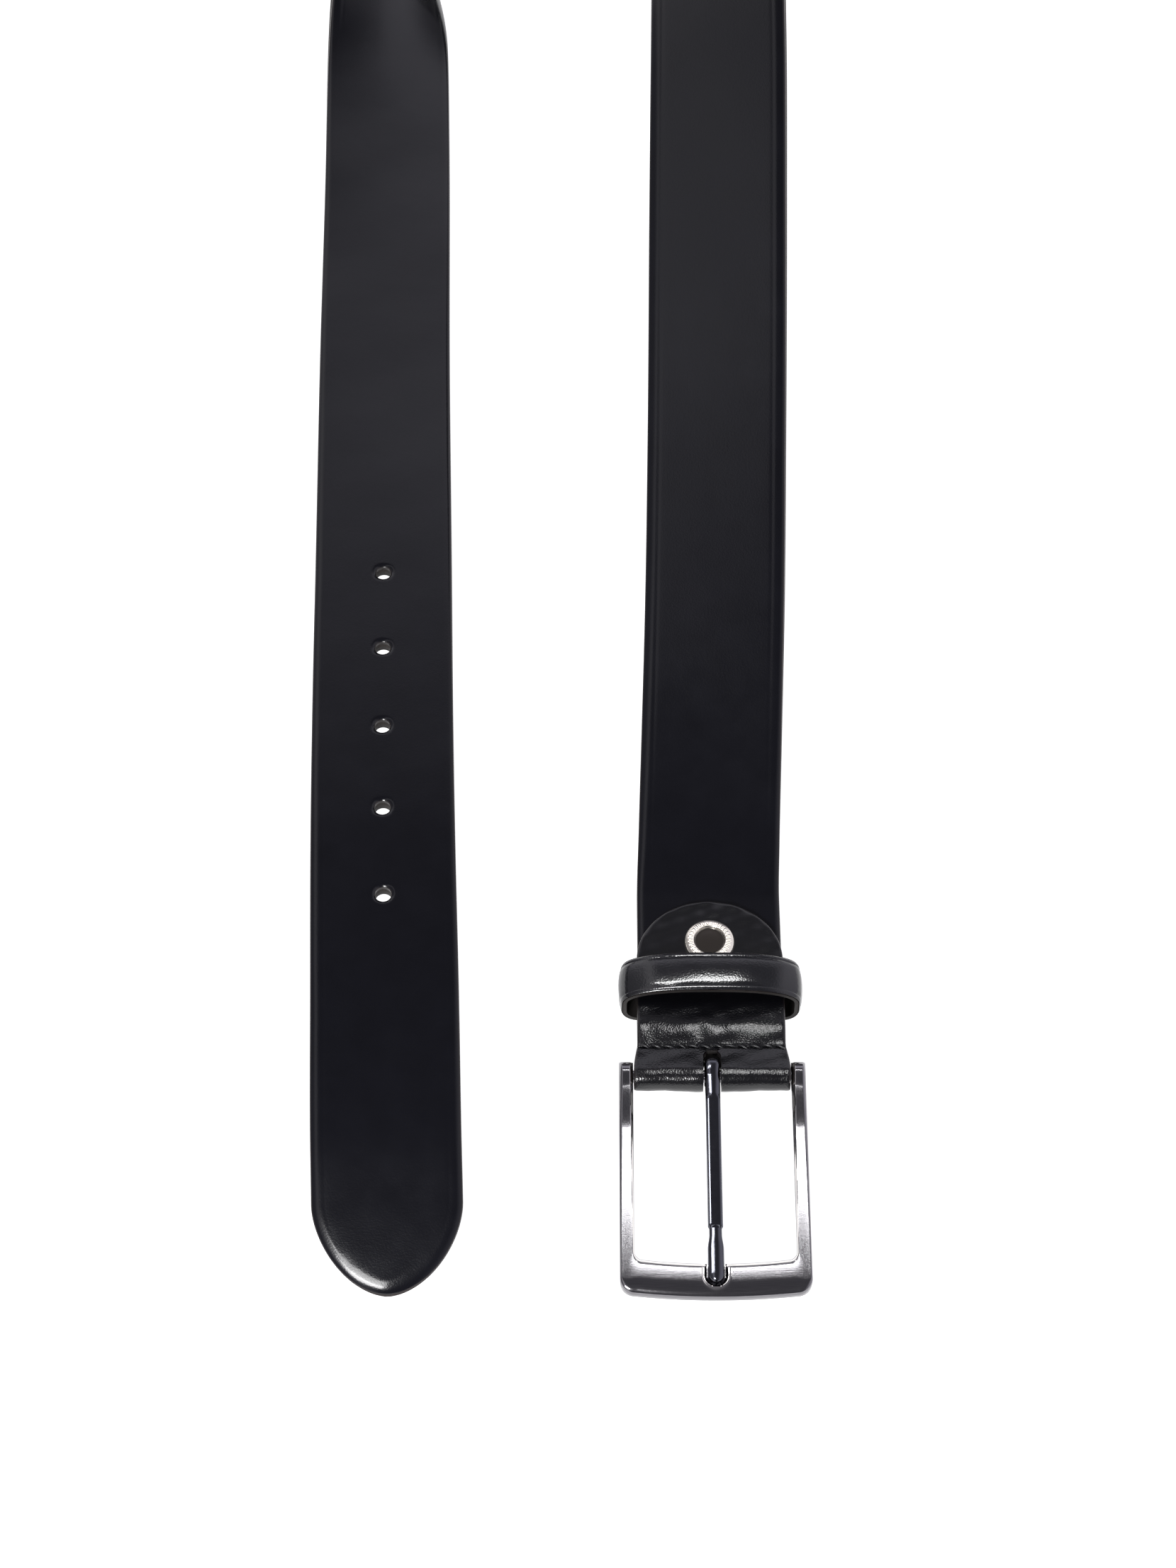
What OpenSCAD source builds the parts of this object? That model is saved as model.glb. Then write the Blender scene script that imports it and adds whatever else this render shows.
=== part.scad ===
/* [Strap] */
// Width of the strap
strap_w = 35; // [32:0.5:36]
// Thickness of the grain leather on the face
face_t = 1.3; // [1:0.1:1.5]
// Thickness of the filler between face and lining
core_t = 1.1; // [0.8:0.1:1.3]
// Thickness of the lining leather
lining_t = 1.2; // [1:0.1:1.3]
// Length of the rounded point at the tip
tip_len = 21; // [18:1:24]

/* [Holes] */
// Diameter of a prong hole
hole_d = 4; // [3.5:0.1:4.5]
// Number of prong holes
hole_count = 5; // [3:1:7]
// Distance between neighbouring prong holes
hole_pitch = 25; // [20:1:25]
// Distance from the tip to the first hole
first_hole = 98; // [80:1:100]

/* [Chape] */
// Width of the folded chape
chape_w = 35.4; // [34:0.1:36]
// Thickness of the chape's outer leather
cover_t = 1.0; // [0.8:0.1:1.1]
// Thickness of the chape's inner leather
liner_t = 0.6; // [0.5:0.1:0.7]
// Distance from the bar to the end of the rounded tab
tab_reach = 47.5; // [46:0.5:49]
// Length of the rounded end of the tab
tab_round = 16.5; // [14:0.5:17.5]
// Distance from the bar to the row of stitches
stitch_row = 7.2; // [7:0.1:7.6]
// Distance from the bar to the snap
snap_at = 35.6; // [35:0.1:37]

/* [Keeper] */
// Width of the keeper's band, along the strap
band_w = 10.5; // [9:0.5:12]
// Distance from the bar to the near edge of the keeper
keeper_at = 18.5; // [18:0.5:19]
// Outer width of the keeper
keeper_w = 44.4; // [43:0.1:45]
// Outer height of the keeper
keeper_h = 15.9; // [15.8:0.1:16.5]

/* [Buckle] */
// Outer width of the buckle
buckle_w = 44.4; // [43.5:0.1:45]
// Distance from the bar to the buckle's outer edge
buckle_reach = 56.5; // [56:0.5:58]
// Width of each side rail
rail_w = 3.4; // [3.2:0.1:3.8]
// Width of the outer bar, where the prong rests
outer_bar_w = 8.3; // [7.8:0.1:8.5]
// Thickness of the frame
frame_t = 3.4; // [3:0.1:3.6]
// Diameter of the bar that the chape folds round
bar_d = 3; // [2.8:0.1:3.2]
// Width of the prong
prong_w = 3.6; // [3.4:0.1:3.8]

/* [Hidden] */
$fn = 48;

leather = [0.10, 0.10, 0.115];
lining_leather = [0.16, 0.14, 0.13];
thread = [0.05, 0.05, 0.06];
nickel = [0.75, 0.74, 0.73];
gunmetal = [0.38, 0.38, 0.40];

// The strap's middle line from the tip to its cut end: x, y, z, and how far it rolls about itself.
// It lies face up at both ends and stands on its edge round the far bend.
route = [
    [-35, -265, 1.9, 0], [-35.3, -246, 10.8, 0], [-35.8, -231, 17.3, 0], [-36.9, -197, 24, 0],
    [-38.5, -158, 26, 0], [-40.1, -114, 25, 0], [-41.5, -68, 23, 0], [-43.9, 9, 19.5, 2],
    [-45.4, 72, 18, 4], [-47, 130, 17.8, 14], [-48, 177, 17.6, 50], [-46, 216, 17.7, 79],
    [-36, 244, 17.7, 84], [-13, 261, 17.9, 84], [14, 261, 21, 82], [37, 244, 32, 76],
    [46, 214, 51, 65], [46.5, 171, 76, 46], [45.5, 125, 97, 28], [44.8, 79, 106.5, 17],
    [44.3, 37, 102.5, 13], [43.8, -1, 88, 12], [43.4, -50, 57.5, 10], [42.7, -90, 36, 8],
    [41.7, -122, 18.5, 5], [41, -143, 9, 2], [40.5, -159, 5.7, 0]
];
ring_gap = 13;          // longest step between two rings of the strap
tip_rings = 8;
tip_bow = 1.8;          // how round the sides of the point are
tip_blunt = 0.62;       // how blunt its end is

strap_t = face_t + core_t + lining_t;
half_t = strap_t / 2;
bar_at = [40.5, -209, 5.7];
strap_end = 13.2;       // from the bar to the strap's cut end
chape_t = cover_t + liner_t;
stack_h = half_t + chape_t;
fold_r = bar_d / 2 + 0.3;
waist_gap = 0.2;        // half the gap between the chape's two sides at the stitches
waist_end = 13;         // from the bar, where the chape lies flat on the strap
slot_w = 5;
slot_end = 5.8;
stitch_count = 11;
stitch_pitch = 3;
awl_w = 0.9;
thread_d = 0.7;
leg_d = 0.65;            // of the thread where it goes down through a slit
snap_r = 6.1;
window_r = 5;           // radius of the strap's window round the snap's socket
post_r = 1.7;
keeper_wall = 2;
keeper_lining_t = 0.7;
keeper_core_t = 0.4;
keeper_round = 5;
staple_w = 9;
ear_r = 3.5;
prong_t = 2.7;
prong_reach = 53.2;
loop_r = 3.5;
bar_play = 0.05;
notch_w = 5;
notch_reach = 54;
corner_r = 3.5;
window_corner_r = 2;
// The buckle's outer edge lies on the table, so its frame slopes down from the bar.
tilt = asin((bar_at.z - frame_t / 2) / buckle_reach);

function unit(v) = v / norm(v);
function xyz(p) = [p.x, p.y, p.z];
function chord(i) = norm(xyz(route[i + 1]) - xyz(route[i]));
// The slope at a route point: the slopes of its two chords, weighted towards the shorter one.
function slope(i) =
    i == 0 ? (route[1] - route[0]) / chord(0) :
    i == len(route) - 1 ? [0, -1, 0, 0] :
    ((route[i + 1] - route[i]) / chord(i) * chord(i - 1)
        + (route[i] - route[i - 1]) / chord(i - 1) * chord(i)) / (chord(i - 1) + chord(i));
// A cubic from route point i to the next, at u from 0 to 1, that has those slopes at its ends.
function between(i, u) =
    route[i] * (2 * pow(u, 3) - 3 * pow(u, 2) + 1)
    + slope(i) * chord(i) * (pow(u, 3) - 2 * pow(u, 2) + u)
    + route[i + 1] * (3 * pow(u, 2) - 2 * pow(u, 3))
    + slope(i + 1) * chord(i) * (pow(u, 3) - pow(u, 2));

tip_line = [for (k = [0 : tip_rings - 1]) between(0, pow(k / tip_rings, 1.8))];
bend_line = [for (i = [1 : len(route) - 2])
    let (n = ceil(chord(i) / ring_gap)) for (k = [0 : n - 1]) between(i, k / n)];
cut_end = [bar_at.x, bar_at.y + strap_end, bar_at.z, 0];
line = concat(tip_line, bend_line, [route[len(route) - 1], cut_end]);
last = len(line) - 1;
steps = [for (i = [0 : last - 1]) norm(xyz(line[i + 1]) - xyz(line[i]))];
function total(n, i = 0, sum = 0) = i == n ? sum : total(n, i + 1, sum + steps[i]);
arcs = [for (i = [0 : last]) total(i)];

function along(i) = unit(xyz(line[min(i + 1, last)]) - xyz(line[max(i - 1, 0)]));
function level(i) = unit(cross(along(i), [0, 0, 1]));
function face_up(i) = cross(level(i), along(i));
function outward(i) = face_up(i) * cos(line[i][3]) + level(i) * sin(line[i][3]);
function across(i) = level(i) * cos(line[i][3]) - face_up(i) * sin(line[i][3]);
// Half the strap's width at a distance from the tip, which narrows to a rounded point.
function half_width(s) = s >= tip_len ? strap_w / 2 :
    max(0.8, strap_w / 2 * pow(1 - pow(1 - s / tip_len, tip_bow), tip_blunt));

// One layer of the strap, between two heights measured from its middle surface.
module strap_layer(low, high) {
    points = [for (i = [0 : last], c = [[-1, high], [1, high], [1, low], [-1, low]])
        xyz(line[i]) + across(i) * c[0] * half_width(arcs[i]) + outward(i) * c[1]];
    walls = [for (i = [0 : last - 1], k = [0 : 3])
        let (a = 4 * i + k, b = 4 * i + (k + 1) % 4, c = b + 4, d = a + 4)
        // the two broad sides are split along the same diagonal, so that the layers' faces match
        each k == 2 ? [[a, b, d], [b, c, d]] : [[a, b, c], [a, c, d]]];
    n = 4 * last;
    polyhedron(points, concat(walls, [[3, 2, 1, 0], [n, n + 1, n + 2, n + 3]]));
}

// The ring just before a distance along the strap, and a cylinder square to the strap there.
function ring_at(s) = max([for (i = [0 : last - 1]) if (arcs[i] <= s) i]);
module square_to_strap(s, r, h) {
    i = ring_at(s);
    u = (s - arcs[i]) / steps[i];
    n = unit(outward(i) * (1 - u) + outward(i + 1) * u);
    translate(xyz(line[i]) * (1 - u) + xyz(line[i + 1]) * u)
        rotate([0, acos(n.z), atan2(n.y, n.x)])
            cylinder(h = h, r = r, center = true);
}
module prong_holes() {
    for (k = [0 : hole_count - 1])
        square_to_strap(first_hole + k * hole_pitch, hole_d / 2, 4 * strap_t);
}
// A round hole through the snap's axis, in the strap or the chape.
module snap_hole(r) {
    translate([bar_at.x, bar_at.y + snap_at, bar_at.z]) cylinder(h = 20, r = r, center = true);
}

module strap_face() {
    color(leather) difference() {
        strap_layer(half_t - face_t, half_t);
        prong_holes();
        snap_hole(window_r);
    }
}
module strap_core() {
    color(lining_leather) difference() {
        strap_layer(lining_t - half_t, half_t - face_t);
        prong_holes();
        snap_hole(window_r);
    }
}
module strap_lining() {
    color(lining_leather) difference() {
        strap_layer(-half_t, lining_t - half_t);
        prong_holes();
        snap_hole(post_r);
    }
}

// The chape in side view: one strip that runs flat under the strap, pinches at the stitches,
// turns round the bar and comes back on top. The path is its inner surface.
function ease(t) = t * t * (3 - 2 * t);
waist_steps = 6;
fold_start = acos(fold_r / stitch_row);
fold_steps = 16;
top_path = concat(
    [[tab_reach + 1, half_t, 0, 1]],
    [for (k = [waist_steps : -1 : 0])
        let (t = k / waist_steps)
        [stitch_row + t * (waist_end - stitch_row), waist_gap + (half_t - waist_gap) * ease(t), 0, 1]],
    [for (k = [0 : fold_steps / 2])
        let (a = fold_start + (180 - fold_start) * k / (fold_steps / 2))
        [fold_r * cos(a), fold_r * sin(a), cos(a), sin(a)]]);
function mirrored(path) = [for (k = [len(path) - 2 : -1 : 0])
    [path[k][0], -path[k][1], path[k][2], -path[k][3]]];
chape_path = concat(top_path, mirrored(top_path));
function offset_path(d) = [for (p = chape_path) [p[0] + d * p[2], p[1] + d * p[3]]];
function reversed(list) = [for (k = [len(list) - 1 : -1 : 0]) list[k]];

// Places a shape drawn from the bar's middle: x across the strap, y away from the buckle.
module at_bar() { translate(bar_at) children(); }

module tab_outline() {
    round_steps = 24;
    start = tab_reach - tab_round;
    polygon(concat([[-chape_w / 2, -10], [chape_w / 2, -10]],
        [for (k = [0 : round_steps]) let (a = 180 * k / round_steps)
            [chape_w / 2 * cos(a), start + tab_round * sin(a)]]));
}
module awl_slits() {
    for (k = [0 : stitch_count])
        translate([(k - stitch_count / 2) * stitch_pitch, stitch_row, 0])
            cube([awl_w, awl_w, 10], center = true);
}
module chape_layer(near, far) {
    difference() {
        intersection() {
            rotate([90, 0, 90])
                linear_extrude(chape_w, center = true)
                    polygon(concat(offset_path(near), reversed(offset_path(far))));
            linear_extrude(20, center = true) tab_outline();
        }
        translate([-slot_w / 2, -10, -10]) cube([slot_w, 10 + slot_end, 20]);
        awl_slits();
    }
}
module chape_cover() {
    color(leather) difference() {
        at_bar() chape_layer(liner_t, chape_t);
        snap_hole(post_r);
        at_bar() translate([0, snap_at, -stack_h - 1]) cylinder(h = 1 + eyelet_t, r = eyelet_r);
    }
}
module chape_liner() {
    color(lining_leather) difference() {
        at_bar() chape_layer(0, liner_t);
        snap_hole(post_r);
    }
}

// A stitch's thread lies on the leather from one awl slit to the next and goes down at both.
module thread_row() {
    top = waist_gap + chape_t + 0.05;
    for (k = [0 : stitch_count - 1])
        translate([(k - stitch_count / 2) * stitch_pitch, stitch_row, top + thread_d / 2])
            rotate([0, 90, 0]) cylinder(h = stitch_pitch, d = thread_d);
    for (k = [0 : stitch_count])
        translate([(k - stitch_count / 2) * stitch_pitch, stitch_row, 0])
            cylinder(h = top + thread_d / 2, d = leg_d);
}
module needle_thread() { color(thread) at_bar() thread_row(); }
module bobbin_thread() { color(thread) at_bar() mirror([0, 0, 1]) thread_row(); }

// The snap: a cap and socket clench the tab, a stud and eyelet clench the strap and the back.
eyelet_r = 4;
eyelet_t = 0.5;
cap_h = 1.7;
socket_r = 4.5;
knob_h = 1.3;
module snap_cap() {
    dish_r = 3.6;
    color(nickel) at_bar() translate([0, snap_at, 0]) rotate_extrude()
        polygon([[0, half_t - 0.4], [post_r, half_t - 0.4], [post_r, stack_h],
            [snap_r, stack_h], [snap_r, stack_h + 0.7], [snap_r - 0.5, stack_h + 1.2],
            [snap_r - 1.4, stack_h + cap_h], [dish_r + 0.4, stack_h + cap_h],
            [dish_r, stack_h + cap_h - 0.5], [0, stack_h + cap_h - 0.9]]);
}
module snap_socket() {
    color(nickel) at_bar() translate([0, snap_at, 0]) difference() {
        translate([0, 0, 0.1]) cylinder(h = half_t - 0.1, r = socket_r);
        cylinder(h = 10, r = post_r, center = true);
    }
}
module snap_stud() {
    base_r = 4.2;
    color(nickel) at_bar() translate([0, snap_at, lining_t - half_t]) {
        cylinder(h = 0.6, r = base_r);
        cylinder(h = knob_h + half_t - lining_t, r = post_r - 0.05);
    }
}
module snap_eyelet() {
    color(nickel) at_bar() translate([0, snap_at, 0]) {
        translate([0, 0, -stack_h]) cylinder(h = eyelet_t, r = eyelet_r);
        translate([0, 0, -stack_h]) cylinder(h = stack_h - half_t + lining_t, r = post_r);
    }
}

// A rectangle with round corners, drawn from exact arcs.
module rounded(w, h, r) {
    square([w - 2 * r, h], center = true);
    square([w, h - 2 * r], center = true);
    for (x = [-1, 1], y = [-1, 1]) translate([x * (w / 2 - r), y * (h / 2 - r)]) circle(r);
}
// One layer of the keeper, between two depths below its outer surface.
module keeper_layer(near, far) {
    translate([bar_at.x, bar_at.y + keeper_at + band_w, keeper_h / 2])
        rotate([90, 0, 0]) linear_extrude(band_w) difference() {
            rounded(keeper_w - 2 * near, keeper_h - 2 * near, keeper_round - near);
            rounded(keeper_w - 2 * far, keeper_h - 2 * far, keeper_round - far);
        }
}
// The staple's crown lies flush in the lining and its legs go down into the cover.
module staple() {
    crown_t = 0.5;
    leg = 0.8;
    leg_end = 0.7;
    translate([bar_at.x, bar_at.y + keeper_at + band_w / 2, 0]) {
        translate([0, 0, keeper_wall - crown_t / 2]) cube([staple_w, 1.2, crown_t], center = true);
        for (x = [-1, 1]) translate([x * (staple_w - leg) / 2 - leg / 2, -leg / 2, leg_end])
            cube([leg, leg, keeper_wall - leg_end - crown_t]);
    }
}
keeper_cover_t = keeper_wall - keeper_lining_t - keeper_core_t;
module keeper_cover() {
    color(leather) difference() {
        keeper_layer(0, keeper_cover_t);
        staple();
    }
}
module keeper_core() {
    color(lining_leather) difference() {
        keeper_layer(keeper_cover_t, keeper_cover_t + keeper_core_t);
        staple();
    }
}
module keeper_lining() {
    color(lining_leather) difference() {
        keeper_layer(keeper_cover_t + keeper_core_t, keeper_wall);
        staple();
    }
}
module keeper_staple() { color(nickel) staple(); }

// Places a shape drawn flat from the bar's middle in the sloping plane of the buckle.
module in_buckle() { translate(bar_at) rotate([tilt, 0, 0]) children(); }
module along_bar(r, length) { rotate([0, 90, 0]) cylinder(h = length, r = r, center = true); }

module buckle_outline() {
    half_w = buckle_w / 2;
    difference() {
        union() {
            translate([-half_w, -buckle_reach + corner_r]) square([buckle_w, buckle_reach - corner_r]);
            translate([-half_w + corner_r, -buckle_reach]) square([buckle_w - 2 * corner_r, corner_r]);
            for (x = [-1, 1]) translate([x * (half_w - corner_r), -buckle_reach + corner_r])
                circle(corner_r);
        }
        translate([0, outer_bar_w / 2 - buckle_reach / 2 + 10 / 2])
            rounded(buckle_w - 2 * rail_w, buckle_reach - outer_bar_w + 10, window_corner_r);
    }
}
module buckle_frame() {
    color(gunmetal) in_buckle() difference() {
        union() {
            linear_extrude(frame_t, center = true) buckle_outline();
            for (x = [-1, 1]) translate([x * (buckle_w - rail_w) / 2, 0, 0]) along_bar(ear_r, rail_w);
        }
        along_bar(bar_d / 2, buckle_w - 2);
        // the notch that the prong's tip rests in
        translate([0, -notch_reach + notch_w / 2, frame_t / 2 - notch_depth]) {
            cylinder(h = frame_t, d = notch_w);
            translate([-notch_w / 2, 0, 0]) cube([notch_w, outer_bar_w, frame_t]);
        }
    }
}
notch_depth = frame_t / 2 - (loop_r - prong_t) + 0.1;
module buckle_bar() { color(gunmetal) in_buckle() along_bar(bar_d / 2, buckle_w - 2); }
module prong() {
    tip_r = prong_w / 2;
    color(nickel) in_buckle() difference() {
        union() {
            along_bar(loop_r, prong_w);
            translate([-prong_w / 2, -prong_reach + tip_r, loop_r - prong_t])
                cube([prong_w, prong_reach - tip_r, prong_t]);
            translate([0, -prong_reach + tip_r, loop_r - prong_t]) cylinder(h = prong_t, r = tip_r);
        }
        along_bar(bar_d / 2 + bar_play, 2 * prong_w);
    }
}

strap_face();
strap_core();
strap_lining();
chape_cover();
chape_liner();
needle_thread();
bobbin_thread();
snap_cap();
snap_socket();
snap_stud();
snap_eyelet();
keeper_cover();
keeper_core();
keeper_lining();
keeper_staple();
buckle_frame();
buckle_bar();
prong();
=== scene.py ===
# %% [markdown]
# A dress belt, layer by layer
# ============================
# The belt lies on a white table with both ends face up. Its hard parts come from a fixed frame of
# solids that already has the right size. This file gives every piece its real surface: rolled
# leather edges, punched holes, a folded chape, a padded keeper, and cast metal with its bevels.

# %% Load the frame
import bmesh
import bpy
import numpy as np
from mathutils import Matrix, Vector


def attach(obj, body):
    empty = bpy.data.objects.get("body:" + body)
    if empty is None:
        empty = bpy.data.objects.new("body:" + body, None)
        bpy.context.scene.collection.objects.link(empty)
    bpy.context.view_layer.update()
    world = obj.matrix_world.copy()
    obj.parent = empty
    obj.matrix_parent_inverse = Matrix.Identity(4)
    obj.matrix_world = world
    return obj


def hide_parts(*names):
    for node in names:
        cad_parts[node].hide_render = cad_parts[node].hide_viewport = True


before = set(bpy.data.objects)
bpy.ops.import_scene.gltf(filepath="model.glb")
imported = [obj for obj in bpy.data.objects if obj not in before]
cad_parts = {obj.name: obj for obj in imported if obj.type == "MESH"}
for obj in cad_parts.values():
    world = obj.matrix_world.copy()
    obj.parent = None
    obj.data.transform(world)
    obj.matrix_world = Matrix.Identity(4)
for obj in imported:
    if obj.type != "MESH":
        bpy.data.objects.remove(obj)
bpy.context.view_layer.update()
MM = 0.001


def add_object(name, data):
    """Make an object round its data and put it in the scene."""
    made = bpy.data.objects.new(name, data)
    bpy.context.scene.collection.objects.link(made)
    return made


# %% [markdown]
# The camera
# ----------
# The belt is seen from its near ends, from 55 degrees above the table. A long lens keeps the two
# runs almost parallel. The view is taller than wide, so the sensor's 36 mm lie along its height.

# %% Camera
CAMERA_AT = (11.0, -625.5, 721.8)
CAMERA_ELEVATION = 55.0
LENS, SENSOR = 79.7, 36.0

camera_data = bpy.data.cameras.new("camera")
camera_data.lens = LENS
camera_data.sensor_width = SENSOR
camera_data.clip_start = 0.01
camera = add_object("camera", camera_data)
camera.location = [c * MM for c in CAMERA_AT]
camera.rotation_euler = (np.radians(90.0 - CAMERA_ELEVATION), 0.0, 0.0)
bpy.context.scene.camera = camera
bpy.context.scene.view_settings.view_transform = "Standard"
print("camera: lens", camera_data.lens, "mm, elevation", CAMERA_ELEVATION)

# %% [markdown]
# From arrays to pieces
# ---------------------
# Every new surface here is an array of points on a grid of two parameters. One helper turns grids
# into faces with index arithmetic, and another makes the Blender object from points and faces. All
# points are written in millimetres and become metres in that last step.

# %% Mesh helpers
def grid_faces(rows, columns, wrap_rows=False, wrap_columns=False, keep=None, first=0):
    """Quads between neighbouring points of a grid stored row by row.

    The corners of cell (i, j) are points (i, j), (i + 1, j), (i + 1, j + 1) and (i, j + 1). A
    wrapped direction joins its last points to its first, and keep drops the cells that are False.
    """
    i, j = np.meshgrid(np.arange(rows - (not wrap_rows)), np.arange(columns - (not wrap_columns)),
                       indexing="ij")
    if keep is not None:
        i, j = i[keep], j[keep]
    i, j = i.ravel(), j.ravel()
    i_next, j_next = (i + 1) % rows, (j + 1) % columns
    return first + np.stack([i * columns + j, i_next * columns + j,
                             i_next * columns + j_next, i * columns + j_next], axis=1)


def shell_faces(solid, drawn):
    """Faces of a sheet with thickness: a top grid, an equal bottom grid, and walls between them.

    solid says which cells hold material and drawn which of them get faces. A wall stands on each
    grid line that has material on one side only. The top's points come first, then the bottom's.
    """
    rows, columns = solid.shape[0] + 1, solid.shape[1] + 1
    under = rows * columns
    top = grid_faces(rows, columns, keep=drawn)
    bottom = grid_faces(rows, columns, keep=drawn, first=under)[:, ::-1]
    padded = np.pad(solid, 1)
    walls = []
    for axis in (0, 1):
        step = np.diff(padded.astype(int), axis=axis)
        step = step[:, 1:-1] if axis == 0 else step[1:-1, :]
        for sign in (1, -1):
            i, j = np.nonzero(step == sign)
            a = i * columns + j
            b = a + (1 if axis == 0 else columns)
            if (sign > 0) == (axis == 0):
                a, b = b, a
            walls.append(np.stack([a, b, b + under, a + under], axis=1))
    return np.concatenate([top, bottom] + walls)


def end_caps(rows, around, first=0):
    """Quads that close a tube's first and last ring, each from one half of it to the other."""
    ends, half = np.arange(around), around // 2
    other = ends[:half - 1:-1]
    cap = first + np.stack([ends[:half - 1], ends[1:half], other[1:], other[:-1]], axis=1)
    return np.concatenate([cap, cap + (rows - 1) * around])


pieces = {}


def new_piece(name, points, faces, smooth_angle=40.0, merge=0.001, attributes=None):
    """Make an object from points in millimetres and quads, merging points closer than merge.

    attributes holds one number per point under each name, for materials that vary along a piece.
    """
    mesh = bpy.data.meshes.new(name)
    mesh.from_pydata((np.asarray(points).reshape(-1, 3) * MM).tolist(), [], faces.tolist())
    for label, values in (attributes or {}).items():
        layer = mesh.attributes.new(label, "FLOAT", "POINT")
        layer.data.foreach_set("value", np.asarray(values, dtype=np.float32).ravel())
    work = bmesh.new()
    work.from_mesh(mesh)
    bmesh.ops.remove_doubles(work, verts=work.verts, dist=merge * MM)
    bmesh.ops.dissolve_degenerate(work, edges=work.edges, dist=0.1 * merge * MM)
    loose = [v for v in work.verts if not v.link_faces]
    bmesh.ops.delete(work, geom=loose, context="VERTS")
    bmesh.ops.recalc_face_normals(work, faces=work.faces)
    work.to_mesh(mesh)
    work.free()
    mesh.shade_smooth()
    mesh.set_sharp_from_angle(angle=np.radians(smooth_angle))
    piece = pieces[name] = add_object(name, mesh)
    print(f"{name}: {len(mesh.polygons)} faces")
    return piece


def settle(piece, body, slot, material, *nodes):
    """Let a finished piece ride on a body, stand for its nodes and wear a material."""
    piece.data.materials.append(material)
    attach(piece, body)
    if nodes:
        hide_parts(*nodes)


def wear(node, material):
    """Give a solid of the frame that stays in view a better material, in its own slots."""
    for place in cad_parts[node].material_slots:
        place.material = material
    print(node, "wears", material.name)


def ease(t):
    """A smooth step from 0 to 1, flat at both ends: 3 t squared minus 2 t cubed."""
    t = np.clip(t, 0.0, 1.0)
    return t * t * (3.0 - 2.0 * t)


def bell(x, width):
    """A smooth hump of height 1 at 0: e to the power of minus the square of x over the width."""
    return np.exp(-((x / width) ** 2))


def mirrored(half):
    """Steps that rise from 0, with their own mirror image below 0."""
    return np.concatenate([-half[:0:-1], half])


def unit(v):
    """Vectors of length one along the last axis."""
    return v / np.maximum(np.linalg.norm(v, axis=-1, keepdims=True), 1e-12)


# %% [markdown]
# Shader maths
# ------------
# A material's pattern is easiest to read as a formula. `Socket` wraps one output of a node, so that
# plus, minus and times on it add Math nodes, and `node` adds any other node. Numbers that are the
# same all over a surface are set straight on the shader's own sockets.

# %% Shader helper
class Socket:
    """One output of a shader node that Python's operators can be used on."""

    def __init__(self, tree, output):
        self.tree, self.output = tree, output

    def node(self, kind, settings=None, inputs=None, output=0):
        """Add a node: settings are set first, then the values or links of its sockets."""
        made = self.tree.nodes.new(kind)
        for key, value in (settings or {}).items():
            if key == "stops":
                ramp = made.color_ramp.elements
                while len(ramp) < len(value):
                    ramp.new(0.5)
                for stop, (position, color) in zip(ramp, value):
                    stop.position, stop.color = position, (*color, 1.0)
            else:
                setattr(made, key, value)
        for key, value in (inputs or {}).items():
            if isinstance(value, Socket):
                self.tree.links.new(value.output, made.inputs[key])
            else:
                made.inputs[key].default_value = value
        return Socket(self.tree, made.outputs[output])

    def attribute(self, name):
        """The number that a mesh holds under this name at each of its points."""
        return self.node("ShaderNodeAttribute", {"attribute_name": name}, output=2)

    def math(self, operation, *others):
        """Add a Math node that works on this value and the others."""
        values = dict(enumerate((self,) + others))
        return self.node("ShaderNodeMath", {"operation": operation}, values)

    def __add__(self, other):
        return self.math("ADD", other)

    def __mul__(self, other):
        return self.math("MULTIPLY", other)

    def __sub__(self, other):
        return self.math("SUBTRACT", other)

    def __rsub__(self, other):
        return self.math("MULTIPLY", -1.0) + other

    __radd__, __rmul__ = __add__, __mul__

    def between(self, low, high):
        """0 below low, 1 above high and a straight line from one to the other."""
        return self.node("ShaderNodeMapRange", {"clamp": True},
                         {0: self, 1: low, 2: high, 3: 0.0, 4: 1.0})


def new_material(name, **values):
    """A material with a Principled shader whose own sockets take the values given by name."""
    material = bpy.data.materials.new(name)
    material.use_nodes = True
    shader = material.node_tree.nodes["Principled BSDF"]
    for key, value in values.items():
        socket = shader.inputs[key.replace("_", " ")]
        socket.default_value = (*value, 1.0) if isinstance(value, tuple) else value
    material.diffuse_color = (*values.get("Base_Color", (0.5, 0.5, 0.5)), 1.0)
    place = material.node_tree.nodes.new("ShaderNodeTexCoord")
    return material, shader, Socket(material.node_tree, place.outputs["Object"])


def mix_colors(factor, a, b):
    """Blend two colours by a factor from 0 to 1; a colour is a socket or three numbers."""
    colors = {6: a if isinstance(a, Socket) else (*a, 1.0),
              7: b if isinstance(b, Socket) else (*b, 1.0)}
    return factor.node("ShaderNodeMix", {"data_type": "RGBA"}, {0: factor, **colors}, output=2)


def feed(shader, socket_name, value):
    """Link a varying value to one of the shader's sockets."""
    value.tree.links.new(value.output, shader.inputs[socket_name])


def noise(place, scale, detail=2.0, roughness=0.5):
    """A cloudy value from 0 to 1 that repeats about scale times in a metre."""
    return place.node("ShaderNodeTexNoise", None,
                      {"Vector": place, "Scale": scale, "Detail": detail, "Roughness": roughness})


def stretch(place, x, y, z):
    """The same place with its axes scaled, so that a pattern runs along one of them."""
    return place.node("ShaderNodeMapping", None, {"Vector": place, "Scale": (x, y, z)})


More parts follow.
